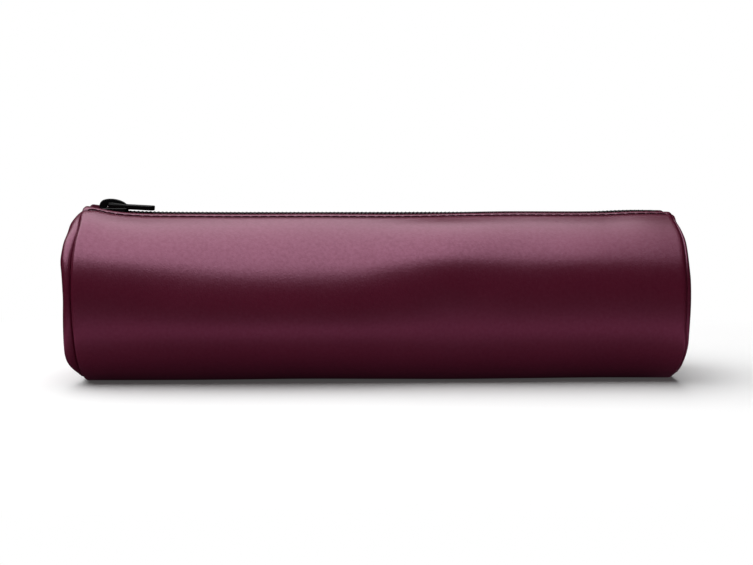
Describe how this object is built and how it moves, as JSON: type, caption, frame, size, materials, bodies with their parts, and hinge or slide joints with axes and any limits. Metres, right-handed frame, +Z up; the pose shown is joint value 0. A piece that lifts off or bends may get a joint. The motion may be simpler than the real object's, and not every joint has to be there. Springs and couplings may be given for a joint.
{
  "type": "round pencil case",
  "caption": "Tube-shaped leather pencil case with sewn round ends, a fabric lining and a coil zip with a slider and pull tab along the top.",
  "frame": {"origin": "on the table under the middle of the case", "axes": "+X along the case to the right as seen from the front, -Y to the front, +Z up towards the zip"},
  "size_m": [0.21, 0.06, 0.0629],
  "materials": {
    "leather": "smooth burgundy leather with a satin top coat",
    "lining": "dark plain-woven lining",
    "zip_tape": "black woven tape",
    "zip_coil": "black nylon monofilament",
    "black_metal": "gloss black lacquered casting"
  },
  "bodies": {
    "case": {"body_panel": "leather", "left_end_panel": "leather", "right_end_panel": "leather", "body_lining": "lining", "left_end_lining": "lining", "right_end_lining": "lining", "front_zip_tape": "zip_tape", "rear_zip_tape": "zip_tape", "bottom_stop": "black_metal"},
    "slider": {"slider_body": "black_metal"},
    "tab": {"pull_tab": "black_metal"},
    "front_chain": {"front_zip_coil": "zip_coil", "front_top_stop": "black_metal"},
    "rear_chain": {"rear_zip_coil": "zip_coil", "rear_top_stop": "black_metal"}
  },
  "joints": [
    {"name": "zip_slide", "type": "slide", "parent": "case", "child": "slider", "axis": [1, 0, 0], "range_m": [0, 0.182], "deforming": ["front_zip_coil", "rear_zip_coil", "front_zip_tape", "rear_zip_tape"]},
    {"name": "tab_swing", "type": "hinge", "parent": "slider", "child": "tab", "pos_m": [-0.09221, 0, 0.06065], "axis": [0, -1, 0], "range_deg": [0, 180]},
    {"name": "front_chain_fold", "type": "hinge", "parent": "case", "child": "front_chain", "pos_m": [0, -0.0053, 0.0566], "axis": [1, 0, 0], "range_deg": [0, 88]},
    {"name": "rear_chain_fold", "type": "hinge", "parent": "case", "child": "rear_chain", "pos_m": [0, 0.0053, 0.0566], "axis": [-1, 0, 0], "range_deg": [0, 88]}
  ],
  "couplings": [
    {"joint": "front_chain_fold", "follows": "zip_slide", "rad_per_m": 8.439},
    {"joint": "rear_chain_fold", "follows": "zip_slide", "rad_per_m": 8.439}
  ]
}
